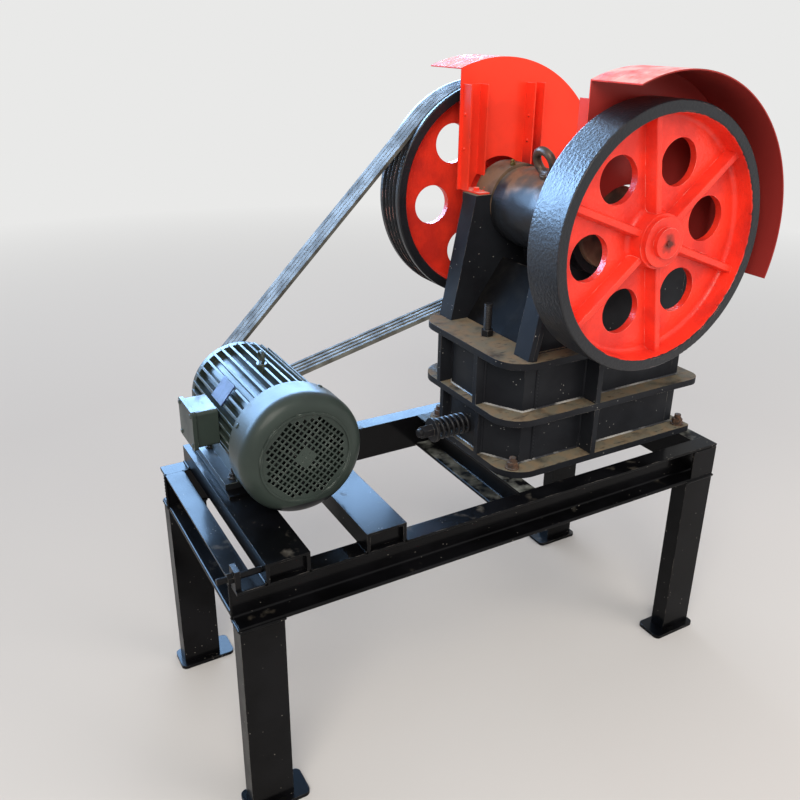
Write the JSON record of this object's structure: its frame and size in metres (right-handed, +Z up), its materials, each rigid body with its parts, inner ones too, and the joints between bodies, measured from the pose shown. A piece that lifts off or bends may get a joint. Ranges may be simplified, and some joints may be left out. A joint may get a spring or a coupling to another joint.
{
  "type": "jaw crusher",
  "caption": "Small jaw crusher with spoked flywheels, belt driven by an electric motor, on a welded channel stand with sheet covers over the wheels.",
  "frame": {"origin": "on the floor under the middle of the whole machine's box", "axes": "+X along the stand from the motor to the feed mouth, +Y towards the belt side, +Z up"},
  "size_m": [1.446, 0.808, 1.618],
  "materials": {
    "stand_black_paint": "gloss",
    "body_charcoal_paint": "satin",
    "bare_cast_iron": "dusty, as cast",
    "manganese_steel": "as cast",
    "dark_steel": "oiled",
    "rusty_steel": "rusty",
    "bright_steel": "turned",
    "wheel_red_paint": "gloss",
    "cover_red_paint": "gloss",
    "motor_green_enamel": "hammered gloss",
    "motor_black_parts": "matt",
    "belt_rubber": "worn"
  },
  "bodies": {
    "root": {"front_beam": "stand_black_paint", "back_beam": "stand_black_paint", "motor_end_beam": "stand_black_paint", "crusher_end_beam": "stand_black_paint", "crusher_cross_beam": "stand_black_paint", "motor_beams": "stand_black_paint", "legs": "stand_black_paint", "foot_plates": "stand_black_paint", "belt_adjusting_screw": "stand_black_paint", "anchor_bolts": "rusty_steel", "base_flange": "body_charcoal_paint", "middle_flange": "body_charcoal_paint", "top_flange": "body_charcoal_paint", "rear_wall": "body_charcoal_paint", "front_wall": "body_charcoal_paint", "side_walls": "body_charcoal_paint", "stiffening_ribs": "body_charcoal_paint", "rear_guard_plate": "body_charcoal_paint", "bearing_pedestals": "body_charcoal_paint", "bearing_caps": "bare_cast_iron", "fixed_jaw_plate": "manganese_steel", "cheek_plates": "manganese_steel", "toggle_wedge": "dark_steel", "toggle_seat": "dark_steel", "toggle_plate": "dark_steel", "adjusting_stud": "dark_steel", "tension_rod": "dark_steel", "tension_spring": "dark_steel", "belt_cover": "cover_red_paint", "flywheel_cover": "cover_red_paint", "cover_posts": "cover_red_paint", "motor_body": "motor_green_enamel", "fan_cover": "motor_green_enamel", "terminal_box": "motor_green_enamel", "motor_rails": "stand_black_paint", "drive_belts": "belt_rubber"},
    "flywheel_shaft": {"eccentric_shaft": "bright_steel", "flywheel_front": "wheel_red_paint", "flywheel_back": "wheel_red_paint", "hub_caps": "wheel_red_paint"},
    "swing_jaw": {"pitman": "bare_cast_iron", "moving_jaw_plate": "manganese_steel", "lifting_eye": "dark_steel"},
    "motor_rotor": {"motor_shaft": "bright_steel", "motor_fan": "motor_black_parts", "motor_pulley": "motor_black_parts"}
  },
  "joints": [
    {"name": "flywheel_spin", "type": "hinge", "parent": "root", "child": "flywheel_shaft", "pos_m": [0.321, 0, 1.252], "axis": [0, 1, 0], "continuous": true},
    {"name": "jaw_swing", "type": "hinge", "parent": "flywheel_shaft", "child": "swing_jaw", "pos_m": [0.321, 0, 1.244], "axis": [0, 1, 0], "continuous": true},
    {"name": "motor_spin", "type": "hinge", "parent": "root", "child": "motor_rotor", "pos_m": [-0.467, 0, 0.808], "axis": [0, 1, 0], "continuous": true}
  ],
  "couplings": [
    {"joint": "jaw_swing", "follows": "flywheel_spin", "ratio": -1},
    {"joint": "motor_spin", "follows": "flywheel_spin", "ratio": 4.904}
  ]
}
